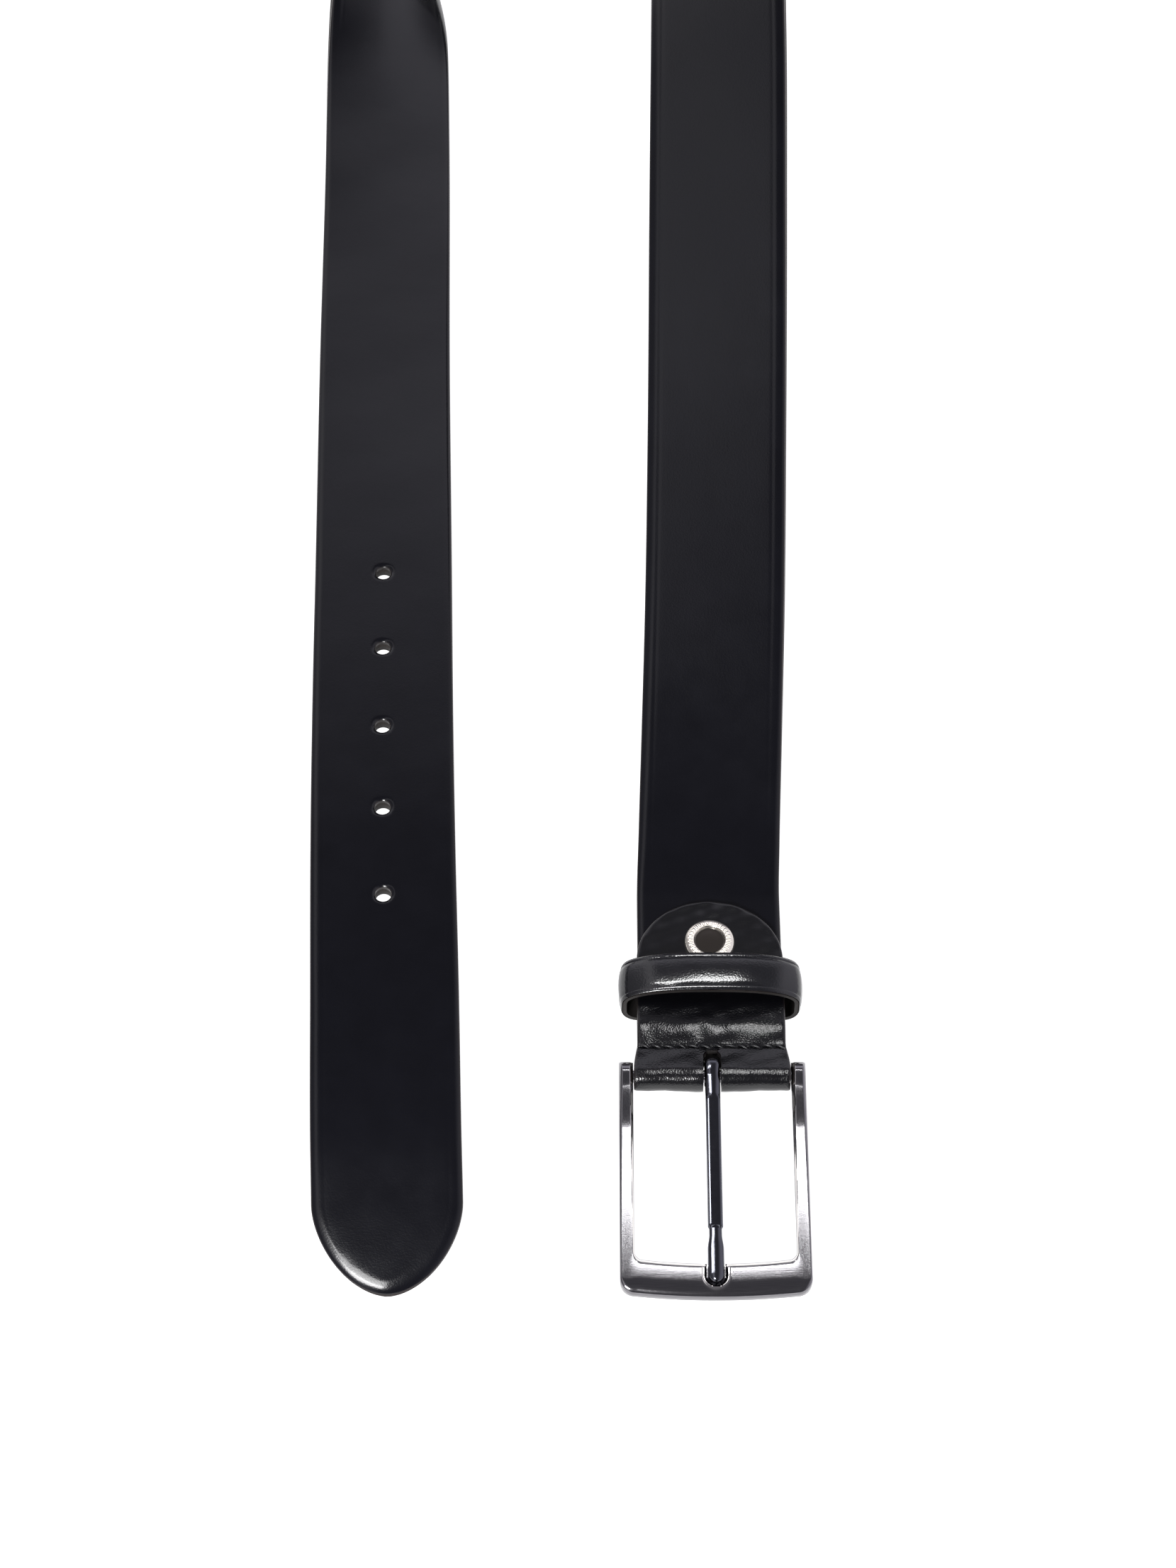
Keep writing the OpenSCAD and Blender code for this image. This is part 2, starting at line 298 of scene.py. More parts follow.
def bump(shader, *layers):
    """Stack bumps on a shader's normal; each layer is a height, a depth in metres, a strength."""
    normal = None
    for height, depth, strength in layers:
        inputs = {"Height": height, "Distance": depth, "Strength": strength}
        if normal is not None:
            inputs["Normal"] = normal
        normal = height.node("ShaderNodeBump", None, inputs)
    feed(shader, "Normal", normal)


# %% [markdown]
# Leather
# -------
# Black dress leather is plated smooth and polished: a dark, faintly blue surface under a clear
# finish. Its pores are fine pits, the hide waves a little over centimetres, and the gloss is
# uneven. Edges are painted and look browner and duller.

# %% Leather materials
def leather_material(name, color, rough, pore_scale, pore_depth, wave_depth, shine, coat):
    """Glossy leather: pits from a Voronoi pattern, waves and uneven gloss from noise.

    shine is the strength of the grain's own gloss, which the pits break up, and coat that of the
    clear finish over it, which stays smooth.
    """
    material, shader, place = new_material(
        name, Base_Color=color, Roughness=rough, Coat_Weight=coat, Coat_Roughness=0.10,
        Specular_IOR_Level=shine)
    pores = place.node("ShaderNodeTexVoronoi", {"feature": "SMOOTH_F1"},
                       {"Vector": place, "Scale": pore_scale, "Smoothness": 0.6,
                        "Randomness": 1.0})
    fibre = noise(place, pore_scale * 0.45, 3.0)
    wave = noise(place, 55.0, 2.0)
    edge = place.attribute("edge")
    gloss = noise(place, 130.0, 3.0)
    worn = mix_colors(edge, color, (0.030, 0.023, 0.021))
    feed(shader, "Base Color", mix_colors(gloss.between(0.3, 0.8) * 0.5, worn,
                                          tuple(1.5 * c for c in color)))
    feed(shader, "Roughness", gloss * 0.10 + edge * 0.22 + (rough - 0.05))
    grain = 1.0 - place.attribute("pressed")
    bump(shader, (wave, wave_depth, 0.9), (fibre * grain, pore_depth * 0.8, 0.5),
         (pores * grain, pore_depth, 0.6))
    return material


belt_leather = leather_material("belt_leather", (0.0034, 0.0035, 0.0055), 0.20,
                                2600.0, 0.00002, 0.0001, 0.20, 0.25)
chape_leather = leather_material("chape_leather", (0.0026, 0.0026, 0.0036), 0.20,
                                 2600.0, 0.00006, 0.0002, 0.55, 0.10)
keeper_leather = leather_material("keeper_leather", (0.0028, 0.0028, 0.0040), 0.17,
                                  2400.0, 0.00004, 0.0005, 0.60, 0.10)


def plain_leather_material(name, color, rough):
    """Unpolished leather: a short nap of fine noise over slow changes of colour."""
    material, shader, place = new_material(name, Base_Color=color, Roughness=rough,
                                           Specular_IOR_Level=0.35)
    nap = noise(place, 2600.0, 5.0, 0.65)
    patch = noise(place, 60.0, 3.0)
    feed(shader, "Base Color", mix_colors(patch.between(0.3, 0.7), color,
                                          tuple(1.6 * c for c in color)))
    bump(shader, (nap, 0.00012, 0.7))
    return material


lining_leather = plain_leather_material("lining_leather", (0.016, 0.014, 0.013), 0.62)
filler_board = plain_leather_material("filler_board", (0.020, 0.016, 0.014), 0.7)

# %% [markdown]
# Metal
# -----
# The frame is cast and brushed along each bar, then its inner edge and the prong's notch are
# polished. The prong is plated black and polished all over, and the snap's cap is bright nickel
# whose dish is coloured near black: a painted dark reflection. Brushing is a noise stretched along
# the bar, which varies the colour, the roughness and, very faintly, the bump.

# %% Metal materials
def brushed_material(name, color, rough):
    """Satin metal with fine lines along Y on the rails and along X on the outer bar."""
    material, shader, place = new_material(name, Base_Color=color, Roughness=rough, Metallic=1.0)
    along_y = noise(stretch(place, 9000.0, 200.0, 9000.0), 1.0, 2.0)
    along_x = noise(stretch(place, 200.0, 9000.0, 9000.0), 1.0, 2.0)
    bar = place.attribute("bar")
    polish = place.attribute("polish")
    lines = along_y * (1.0 - bar) + along_x * bar
    satin = 1.0 - polish
    grain = noise(place, 2600.0, 4.0)
    shade = mix_colors(lines.between(0.2, 0.8), tuple(0.85 * c for c in color),
                       tuple(1.15 * c for c in color))
    feed(shader, "Base Color", mix_colors(polish, shade, (0.80, 0.78, 0.76)))
    feed(shader, "Roughness", (lines * 0.08 + grain * 0.08 + (rough - 0.08)) * satin
         + polish * 0.10)
    bump(shader, (lines * satin, 0.00001, 0.35), (grain * satin, 0.00001, 0.35))
    return material


satin_gunmetal = brushed_material("satin_gunmetal", (0.225, 0.220, 0.230), 0.13)


def plated_material(name, color, rough, dish_reflection_color=None):
    """Polished plating: almost even, with a faint haze and a very slight wave.

    Where a piece's dish mask is 1 it takes the near-black dish colour, a painted dark reflection.
    """
    material, shader, place = new_material(name, Base_Color=color, Roughness=rough, Metallic=1.0)
    # The dish colour is painted: it stands in for the dark reflection in the snap's dish.
    if dish_reflection_color:
        dish = place.attribute("dish")
        feed(shader, "Base Color", mix_colors(dish, color, dish_reflection_color))
    haze = noise(place, 700.0, 4.0).between(0.35, 0.8)
    feed(shader, "Roughness", haze * 0.08 + rough)
    bump(shader, (noise(place, 220.0, 2.0), 0.00008, 0.35))
    return material


black_nickel = plated_material("black_nickel", (0.105, 0.108, 0.125), 0.10)
polished_nickel = plated_material("polished_nickel", (0.80, 0.77, 0.74), 0.08)
# The last colour is the painted dark reflection in the snap's dish.
cap_nickel = plated_material("cap_nickel", (0.92, 0.87, 0.78), 0.16, (0.028, 0.024, 0.022))


def thread_material():
    """Waxed black thread: a low sheen, and fine fibres as bump."""
    material, shader, place = new_material("thread", Base_Color=(0.012, 0.012, 0.014),
                                           Roughness=0.38, Coat_Weight=0.3, Coat_Roughness=0.3)
    bump(shader, (noise(place, 6000.0, 3.0), 0.00004, 0.6))
    return material


thread = thread_material()

# %% [markdown]
# The strap's line
# ----------------
# The strap follows one smooth curve from its tip, round the far bend, to the chape. The curve goes
# through a few given points, each with a roll: how far the strap leans about its own length.
# Between two points it is a cubic that keeps the slope at both.

# %% Strap route
ROUTE = np.array([
    [-35, -265, 1.9, 0], [-35.3, -246, 10.8, 0], [-35.8, -231, 17.3, 0], [-36.9, -197, 24, 0],
    [-38.5, -158, 26, 0], [-40.1, -114, 25, 0], [-41.5, -68, 23, 0], [-43.9, 9, 19.5, 2],
    [-45.4, 72, 18, 4], [-47, 130, 17.8, 14], [-48, 177, 17.6, 50], [-46, 216, 17.7, 79],
    [-36, 244, 17.7, 84], [-13, 261, 17.9, 84], [14, 261, 21, 82], [37, 244, 32, 76],
    [46, 214, 51, 65], [46.5, 171, 76, 46], [45.5, 125, 97, 28], [44.8, 79, 106.5, 17],
    [44.3, 37, 102.5, 13], [43.8, -1, 88, 12], [43.4, -50, 57.5, 10], [42.7, -90, 36, 8],
    [41.7, -122, 18.5, 5], [41, -143, 9, 2], [40.5, -159, 5.7, 0]])
BAR_AT = np.array([40.5, -209.0, 5.7])
STRAP_END = 13.2


def smooth_line(route, cut_end):
    """Points along cubics through the route's points, then straight on to the cut end.

    The slope at a point is the mean of its two chords' slopes, each weighted by the other's
    length. Each cubic is the sum of four Hermite polynomials times its end points and slopes.
    """
    chords = np.linalg.norm(np.diff(route[:, :3], axis=0), axis=1)[:, None]
    slopes = np.diff(route, axis=0) / chords
    inner = (slopes[1:] * chords[:-1] + slopes[:-1] * chords[1:]) / (chords[:-1] + chords[1:])
    slope = np.concatenate([slopes[:1], inner, [[0, -1, 0, 0]]])
    u = np.linspace(0, 1, 60, endpoint=False)[None, :, None]
    a, b, c = route[:-1, None], route[1:, None], chords[:, None]
    points = (a * (2 * u**3 - 3 * u**2 + 1) + slope[:-1, None] * c * (u**3 - 2 * u**2 + u)
              + b * (3 * u**2 - 2 * u**3) + slope[1:, None] * c * (u**3 - u**2)).reshape(-1, 4)
    straight = np.linspace(route[-1], cut_end, 60)
    return np.concatenate([points, straight])


cut_end = np.array([*(BAR_AT + [0, STRAP_END, 0]), 0.0])
line = smooth_line(ROUTE.astype(float), cut_end)
line_at = np.concatenate([[0.0], np.cumsum(np.linalg.norm(np.diff(line[:, :3], axis=0), axis=1))])
STRAP_LENGTH = line_at[-1]
print("strap: from tip to cut end", round(STRAP_LENGTH, 1), "mm; from tip to bar",
      round(STRAP_LENGTH + STRAP_END, 1), "mm")


def on_line(s):
    """The place on the strap's middle line at distances s, and its across and face directions."""
    place = np.stack([np.interp(s, line_at, line[:, k]) for k in range(4)], axis=-1)
    gradient = np.gradient(line[:, :3], line_at, axis=0)
    along = unit(np.stack([np.interp(s, line_at, gradient[:, k]) for k in range(3)], axis=-1))
    level = unit(np.cross(along, [0.0, 0.0, 1.0]))
    up = np.cross(level, along)
    roll = np.radians(place[..., 3:4])
    across = level * np.cos(roll) - up * np.sin(roll)
    face = up * np.cos(roll) + level * np.sin(roll)
    return place[..., :3], across, face


# %% [markdown]
# The strap's layers
# ------------------
# The strap is a sandwich: grain leather on the face, a filler, and a lining. Each layer is a grid
# that runs along the line and across it. The face's top drops in a quarter round at the edge with a
# pressed crease beside it, and the tip's outline closes with the rounded point's own formula. Where
# a hole is punched the grid leaves a square window open, and a ring of quads fills it from the
# square to the round rim and down the hole's wall.

# %% Strap section
STRAP_W, HALF_T = 35.0, 1.8
FACE_LOW, CORE_LOW = 0.5, -0.6
TIP_LENGTH, TIP_BOW, TIP_BLUNT = 21.0, 1.7, 0.56
TIP_SOFT, TIP_WIDE = 6.0, 14.0
EDGE_ROUND, EDGE_DROP = 2.6, 0.95
CREASE_AT, CREASE_W, CREASE_DEPTH = 3.1, 0.38, 0.03
SWELL = 0.010
HOLES = 98.0 + 25.0 * np.arange(5)
HOLE_R, PATCH, RIM_DIP = 2.0, 4.0, 0.55
PAINT_W, WALL_PAINT = 0.35, 0.6


def half_width(s):
    """Half the strap's width: full behind the tip, and a blunt rounded point at the tip."""
    t = np.clip(s / TIP_LENGTH, 0.0, 1.0)
    return np.maximum(0.8, STRAP_W / 2 * (1 - (1 - t) ** TIP_BOW) ** TIP_BLUNT)


def inside_edge(s, t):
    """Distance from the strap's outline, to first order: the gap across over its slope's length.

    Near the tip the place across is a root of two squares, which rounds off the ridge that would
    stand where the distances from the two sides meet.
    """
    slope = (half_width(s + 0.05) - half_width(np.maximum(s - 0.05, 0))) / 0.1
    across = np.hypot(t, 2.0 * bell(s, TIP_SOFT))
    return np.maximum(half_width(s) - across, 0.0) / np.sqrt(1 + slope**2)


def quarter_round(d, width, depth):
    """How far a rounded edge lies below the flat, at a distance d from the outline."""
    t = 1 - np.clip(d / width, 0, 1)
    return depth * (1 - np.sqrt(1 - t * t))


def unevenness(s, t):
    """Slow swells of a hide of a few hundredths of a millimetre, as a sum of four waves."""
    return SWELL * (np.sin(s / 7.3 + 0.6 * np.sin(t / 6)) + np.sin(s / 11.9 + t / 5 + 1.0)
                    + 0.8 * np.sin(s / 4.1 - t / 7 + 2.0) + np.sin(s / 23.0 - t / 9 + 4.0))


def face_height(s, t):
    """Height of the grain side: flat, a pressed crease 3 mm inside the edge, and a round edge.

    The rounding grows wider and deeper towards the tip.
    """
    d = inside_edge(s, t)
    crease = CREASE_DEPTH * bell(d - CREASE_AT, CREASE_W)
    swell = unevenness(s, t) * np.clip(d / 2, 0, 1)
    at_tip = bell(s, TIP_WIDE)
    edge = quarter_round(d, EDGE_ROUND + 2.4 * at_tip, EDGE_DROP + 0.2 * at_tip)
    return HALF_T - 0.05 - edge - crease + swell


def lining_height(s, t):
    """Height of the underside, with a small rounding at its edge."""
    return -HALF_T + quarter_round(inside_edge(s, t), 0.8, 0.4)


def flat_height(level):
    """A layer boundary inside the strap."""
    return lambda s, t: np.full(np.broadcast(s, t).shape, level)


# %% Strap grid
tip_steps = TIP_LENGTH * np.linspace(0, 1, 34) ** 1.7
regular = np.arange(TIP_LENGTH + 2.0, STRAP_LENGTH - 1.0, 2.2)
near_hole = np.abs(regular[:, None] - HOLES).min(axis=1) < PATCH + 1.0
hole_steps = (HOLES[:, None] + np.arange(-PATCH, PATCH + 1)).ravel()
rings = np.sort(np.concatenate([tip_steps, regular[~near_hole], hole_steps, [STRAP_LENGTH]]))
half_columns = np.array([0, 1, 2, 3, 4, 6, 8, 10, 12, 13.4, 13.9, 14.2, 14.5, 14.9, 15.3, 15.7,
                         16.1, 16.45, 16.8, 17.05, 17.25, 17.4, 17.48, 17.5])
columns = mirrored(half_columns)


def to_strap(s, t, height):
    """Points of the strap at a distance s from the tip, t across and a height above the middle."""
    place, across, face = on_line(s)
    return place + across * t[..., None] + face * height[..., None]


def hole_patch(s_hole, top, bottom):
    """A ring of quads round one hole: from a square on the top, over the rim, down and back out.

    Each point of the square slides straight towards the rim's point in its own direction. The
    leather dips towards the rim, as the punch leaves it.
    """
    side = np.arange(-PATCH, PATCH)
    far = np.full_like(side, PATCH)
    square = np.concatenate([np.stack([side, -far], 1), np.stack([far, side], 1),
                             np.stack([-side, far], 1), np.stack([-far, -side], 1)])
    rim = HOLE_R * unit(square)
    share = np.array([1.0, 0.8, 0.6, 0.42, 0.3, 0.21, 0.14, 0.08, 0.04, 0.0])
    q = rim + (square - rim) * share[:, None, None]
    distance = np.linalg.norm(q, axis=-1) - HOLE_R
    s, t = s_hole + q[..., 0], q[..., 1]
    high, low = top(s, t), bottom(s, t)
    if top is face_height:
        high = high - RIM_DIP * np.clip(1 - distance, 0, 1) ** 2
    points = np.concatenate([to_strap(s, t, high), to_strap(s, t, low)[::-1]])
    return points, grid_faces(2 * len(share), len(square), wrap_columns=True)


def strap_layer(name, top, bottom, slot, material):
    """One layer: the grid between two height functions, with the five hole patches.

    The attribute edge is 1 where the sides are painted brown and dull, and less in the holes.
    """
    s, t = np.meshgrid(rings, columns, indexing="ij")
    t = t * half_width(s) / (STRAP_W / 2)
    points = np.concatenate([to_strap(s, t, top(s, t)).reshape(-1, 3),
                             to_strap(s, t, bottom(s, t)).reshape(-1, 3)])
    middle_s = (rings[1:] + rings[:-1])[:, None] / 2
    middle_t = (columns[1:] + columns[:-1])[None, :] / 2
    window = (np.abs(middle_s[..., None] - HOLES) < PATCH).any(axis=-1) & (np.abs(middle_t) < PATCH)
    faces = [shell_faces(np.ones(window.shape, dtype=bool), ~window)]
    edge = 1 - np.clip(inside_edge(s, t) / PAINT_W, 0, 1)
    values = [edge.ravel(), np.ones(edge.size)]
    for s_hole in HOLES:
        patch_points, patch_faces = hole_patch(s_hole, top, bottom)
        faces.append(patch_faces + len(points))
        points = np.concatenate([points, patch_points.reshape(-1, 3)])
        values.append(np.repeat([0.0] * 8 + [WALL_PAINT] * 12, patch_points.shape[1]))
    piece = new_piece(name, points, np.concatenate(faces),
                      attributes={"edge": np.concatenate(values)})
    settle(piece, "strap", slot, material, name)


strap_layer("strap_face", face_height, flat_height(FACE_LOW), "belt_leather", belt_leather)
strap_layer("strap_core", flat_height(FACE_LOW), flat_height(CORE_LOW), "filler", filler_board)
strap_layer("strap_lining", flat_height(CORE_LOW), lining_height, "lining_leather", lining_leather)

# %% [markdown]
# The chape
# ---------
# The chape is one strip folded round the buckle's bar. In side view its inner surface is a path: it
# runs flat on the strap, pinches at the stitches, turns round the bar and comes back underneath.
# Both of its leathers are that path pushed outwards, swept across the strap's width. A slot for the
# prong is left open in the fold, and the tab's end is half an ellipse.

# %% Chape path
CHAPE_W, COVER_T, LINER_T = 35.4, 1.0, 0.6
TAB_REACH, TAB_ROUND = 47.5, 16.5
STITCH_ROW, WAIST_GAP, WAIST_END = 7.2, 0.2, 13.0
FOLD_R = 1.8
SLOT_W, SLOT_END, SLOT_UNDER = 4.3, 5.8, 4.5
FOLD_BULGE, BULGE_REACH = 0.9, 9.0
GROOVE_W, GROOVE_DEPTH = 0.55, 0.22


def chape_path():
    """Points (distance from the bar, height) of the chape's inner surface, front to back.

    The front is an ease from the flat stack down to the waist at the stitches and a straight line
    to the fold. The fold is an arc about the bar, and the back mirrors the front.
    """
    tab = TAB_REACH - TAB_ROUND + TAB_ROUND * np.sin(np.linspace(np.pi / 2, 0, 26))
    flat = np.linspace(TAB_REACH - TAB_ROUND, WAIST_END, 24)[1:]
    waist = np.linspace(WAIST_END, STITCH_ROW, 16)[1:]
    front = np.concatenate([tab, flat, waist])
    rise = ease((front - STITCH_ROW) / (WAIST_END - STITCH_ROW))
    height = WAIST_GAP + (HALF_T - WAIST_GAP) * rise
    start = np.arccos(FOLD_R / STITCH_ROW)
    angle = np.linspace(start, 2 * np.pi - start, 34)
    arc = np.stack([FOLD_R * np.cos(angle), FOLD_R * np.sin(angle)], axis=1)
    top = np.stack([front, height], axis=1)
    straight = top[-1] + (arc[0] - top[-1]) * np.linspace(0, 1, 12)[1:-1, None]
    upper = np.concatenate([top, straight])
    return np.concatenate([upper, arc, upper[::-1] * [1, -1]])


path = chape_path()
path_slope = unit(np.gradient(path, axis=0))
path_normal = np.stack([path_slope[:, 1], -path_slope[:, 0]], axis=1)
path_length = np.concatenate([[0], np.cumsum(np.linalg.norm(np.diff(path, axis=0), axis=1))])
for _ in range(3):
    path_normal[1:-1] = unit(path_normal[:-2] + 2 * path_normal[1:-1] + path_normal[2:])


def chape_half_width(v):
    """Half the chape's width at a distance v from the bar: straight, then half an ellipse."""
    t = np.clip((v - TAB_REACH + TAB_ROUND) / TAB_ROUND, 0, 1)
    return CHAPE_W / 2 * np.sqrt(np.maximum(1 - t * t, 1e-5))


def chape_layer(name, near, far, slot, material):
    """One leather of the chape, between two distances outside the path.

    The slot is an oblong. Its columns lean in with half an ellipse at both of its ends, so that
    the grid's own lines draw its round outline, and it is shorter underneath.
    """
    t = mirrored(np.array([0, 0.8, 1.5, SLOT_W / 2, 2.5, 3.0, 3.8, 5, 7, 9, 11, 13, 14.6, 15.6,
                           16.3, 16.8, 17.15, 17.4, 17.55, 17.65, CHAPE_W / 2]))
    v = path[:, 0:1]
    upper = np.arange(len(path))[:, None] < len(path) / 2
    half_here = chape_half_width(v)
    bulge = (FOLD_BULGE * np.clip(1 - (v / BULGE_REACH) ** 2, 0, 1) ** 2
             * (np.abs(t) / (CHAPE_W / 2)) ** 3)
    x = t * half_here / (CHAPE_W / 2) + np.sign(t) * bulge
    slot_end = np.where(upper, SLOT_END, SLOT_UNDER)
    to_end = np.clip((v - slot_end + SLOT_W / 2) / (SLOT_W / 2), 0, 1)
    narrowed = SLOT_W / 2 * (1 - np.sqrt(np.clip(1 - to_end**2, 0, 1)))
    near_slot = bell(np.clip(np.abs(t) - SLOT_W / 2, 0, None), 1.2)
    x = x - np.sign(t) * narrowed * near_slot * (v < slot_end + 0.05) * (np.abs(t) >= SLOT_W / 2)
    slope = np.gradient(chape_half_width(path[:, 0]), path[:, 0] + 1e-6 * path_length)[:, None]
    slope = np.where(v > TAB_REACH - TAB_ROUND, np.nan_to_num(slope), 0.0)
    edge_gap = (half_here - np.abs(t) * half_here / (CHAPE_W / 2)) / np.sqrt(1 + slope**2)
    fullness = 0.30 * bell(v - 11.0, 3.5) * (1 - (x / 19) ** 2)
    fold_sag = 0.35 * bell(v, 3.0) * bell(np.abs(x) - 3.5, 6.0)
    rough = 0.05 * (np.sin(x * 1.1 + v * 0.7) + np.sin(x * 0.53 - v * 1.3 + 2))
    groove = GROOVE_DEPTH * bell(v - STITCH_ROW, GROOVE_W)
    outer = far - quarter_round(edge_gap, 0.8, 0.35)
    if far > LINER_T:
        outer = outer + fullness + fold_sag + rough - groove
    inner = np.full_like(x, near)
    sides = []
    for offset in (outer, inner):
        p = path[:, None] + path_normal[:, None] * offset[..., None]
        sides.append(np.stack([x, p[..., 0], p[..., 1]], axis=-1) + BAR_AT)
    middle_v = (path[1:, 0] + path[:-1, 0])[:, None] / 2
    middle_t = (t[1:] + t[:-1])[None, :] / 2
    solid = ~((middle_v < slot_end[:-1]) & (np.abs(middle_t) < SLOT_W / 2))
    edge = 1 - np.clip(edge_gap / PAINT_W, 0, 1)
    pressed = np.broadcast_to(0.9 * ease((v - 20.0) / 6.0), x.shape)
    piece = new_piece(name, np.concatenate([s.reshape(-1, 3) for s in sides]),
                      shell_faces(solid, solid),
                      attributes={"edge": np.concatenate([edge.ravel(), np.ones(edge.size)]) * 0.8,
                                  "pressed": np.tile(pressed.ravel(), 2)})
    settle(piece, "strap", slot, material, name)


chape_layer("chape_cover", LINER_T, LINER_T + COVER_T, "chape_leather", chape_leather)
chape_layer("chape_liner", 0.0, LINER_T, "lining_leather", lining_leather)

# %% [markdown]
# Stitches
# --------
# A lock stitch shows as short lengths of twisted thread that dive into one slit and come up from
# the next. Each is a tube along a low arch, a little slanted. Three bumps turn round the tube as it
# goes, as the plies of a thread do.

# %% Stitches
STITCHES, PITCH, THREAD_R = 12, 2.95, 0.29
ARCH, DIVE = 0.36, 0.35


def stitch_row(name, side):
    """Twelve stitches on one side of the chape: tubes whose radius swells three times a turn."""
    u = np.linspace(0, 1, 15)[None, :, None]
    turn = np.linspace(0, 2 * np.pi, 12, endpoint=False)[None, None, :]
    k = np.arange(STITCHES)[:, None, None]
    wobble = np.sin(k * 2.4 + 0.7)
    x0 = (k - STITCHES / 2 + 0.05) * PITCH
    x = x0 + 0.92 * PITCH * u
    v = STITCH_ROW + (0.5 - u) * (1.0 + 0.5 * wobble) + 0.15 * np.cos(k * 1.9)
    surface = WAIST_GAP + LINER_T + COVER_T
    lift = surface - 0.05 + ARCH * np.sin(np.pi * u) ** 0.7 - DIVE * (np.abs(2 * u - 1) ** 6)
    radius = THREAD_R * (1 + 0.13 * np.cos(3 * turn - 16 * u)) * (1 - 0.5 * np.abs(2 * u - 1) ** 8)
    points = np.stack(np.broadcast_arrays(
        x, v + radius * np.cos(turn), side * (lift + radius * np.sin(turn))), axis=-1)
    rows, around = points.shape[1], points.shape[2]
    faces = np.concatenate([grid_faces(rows, around, wrap_columns=True, first=n * rows * around)
                            for n in range(STITCHES)])
    caps = [end_caps(rows, around, first=n * rows * around) for n in range(STITCHES)]
    piece = new_piece(name, points.reshape(-1, 3) + BAR_AT, np.concatenate([faces] + caps),
                      smooth_angle=70.0)
    settle(piece, "strap", "thread", thread, name)


stitch_row("needle_thread", 1)
stitch_row("bobbin_thread", -1)

# %% [markdown]
# The snap
# --------
# The cap is pressed from sheet: a rolled rim, a band of small raised ticks and a dished middle. It
# is a surface of revolution, a profile turned round an axis, whose height also rises and falls with
# the angle inside the band.

# %% Snap cap
SNAP_AT, STACK = 35.6, 3.4
TICKS, TICK_HEIGHT = 30, 0.14


def snap_cap():
    """Turn the cap's profile, given as radius and height, and raise the ticks in its band."""
    profile = np.array([[0.0, 0.95], [1.0, 0.93], [2.0, 0.86], [2.8, 0.76], [3.3, 0.72],
                        [3.55, 0.80], [3.7, 1.05], [3.85, 1.28], [4.0, 1.38], [4.15, 1.42],
                        [4.4, 1.42], [4.7, 1.39], [5.0, 1.34], [5.15, 1.30], [5.3, 1.26],
                        [5.5, 1.16], [5.75, 0.98], [5.95, 0.72], [6.07, 0.42], [6.1, 0.15],
                        [6.05, 0.0], [5.6, 0.0], [1.7, 0.0]])
    fine = np.linspace(0, len(profile) - 1, 3 * len(profile))
    r, h = (np.interp(fine, np.arange(len(profile)), side)[:, None] for side in profile.T)
    angle = np.linspace(0, 2 * np.pi, 240, endpoint=False)[None, :]
    ticks = np.clip(1.6 * np.cos(TICKS * angle), -1, 1) * 0.5 + 0.5
    band = ease((r - 4.1) / 0.2) * ease((5.25 - r) / 0.2)
    h = h + TICK_HEIGHT * band * ticks
    points = np.stack(np.broadcast_arrays(r * np.cos(angle), SNAP_AT + r * np.sin(angle),
                                          STACK + h), axis=-1) + BAR_AT
    # Where the painted dark reflection of the dish goes: inside a radius of 3.75 mm.
    dish = np.broadcast_to(ease((3.75 - r) / 0.3), points.shape[:2])
    piece = new_piece("snap_cap", points.reshape(-1, 3),
                      grid_faces(*points.shape[:2], wrap_columns=True), attributes={"dish": dish})
    settle(piece, "strap", "polished_nickel", cap_nickel, "snap_cap")


snap_cap()
for name in ("snap_socket", "snap_stud", "snap_eyelet"):
    wear(name, polished_nickel)

# %% [markdown]
# The keeper
# ----------
# The keeper is a band of leather wrapped over padding and closed into a flat ring. Its outside
# swells between two pressed lips. The ring is flat underneath and an oval above, and each layer is
# a band that follows it at its own depth.

# %% Keeper
KEEPER_AT, BAND_W, KEEPER_W, KEEPER_H = 18.5, 10.5, 44.4, 15.9
LOW_ROUND, OVAL = 5.0, 2.5
LINING_T, PAD_T, KEEPER_WALL = 0.7, 0.4, 2.0
DOME, LIP_AT, LIP_W, LIP_DEPTH = 0.75, 1.25, 0.22, 0.20


def keeper_ring():
    """Points (x, height) round the keeper's outside, and the outward direction at each.

    The upper half is a superellipse: cosine and sine of an angle, each to a power below one. The
    lower half is flat, with straight sides and a quarter circle at each corner.
    """
    half_w, half_h, r = KEEPER_W / 2, KEEPER_H / 2, LOW_ROUND
    a = np.linspace(0, np.pi, 96)[:, None]
    upper = np.concatenate([half_w * np.sign(np.cos(a)) * np.abs(np.cos(a)) ** (2 / OVAL),
                            half_h * np.sin(a) ** (2 / OVAL)], axis=1)
    turn = np.linspace(0, np.pi / 2, 18)
    left = np.stack([-(half_w - r) - r * np.cos(turn), -(half_h - r) - r * np.sin(turn)], axis=1)
    side = np.linspace(0, -(half_h - r), 5)[1:-1, None] * [0, 1] - [half_w, 0]
    foot = np.linspace(-(half_w - r), half_w - r, 30)[1:-1, None] * [1, 0] - [0, half_h]
    loop = np.concatenate([upper, side, left, foot, (left * [-1, 1])[::-1],
                           (side * [-1, 1])[::-1]])
    slope = unit(np.roll(loop, -1, axis=0) - np.roll(loop, 1, axis=0))
    normal = np.stack([slope[:, 1], -slope[:, 0]], axis=1)
    loop[:, 1] += half_h
    return loop, normal


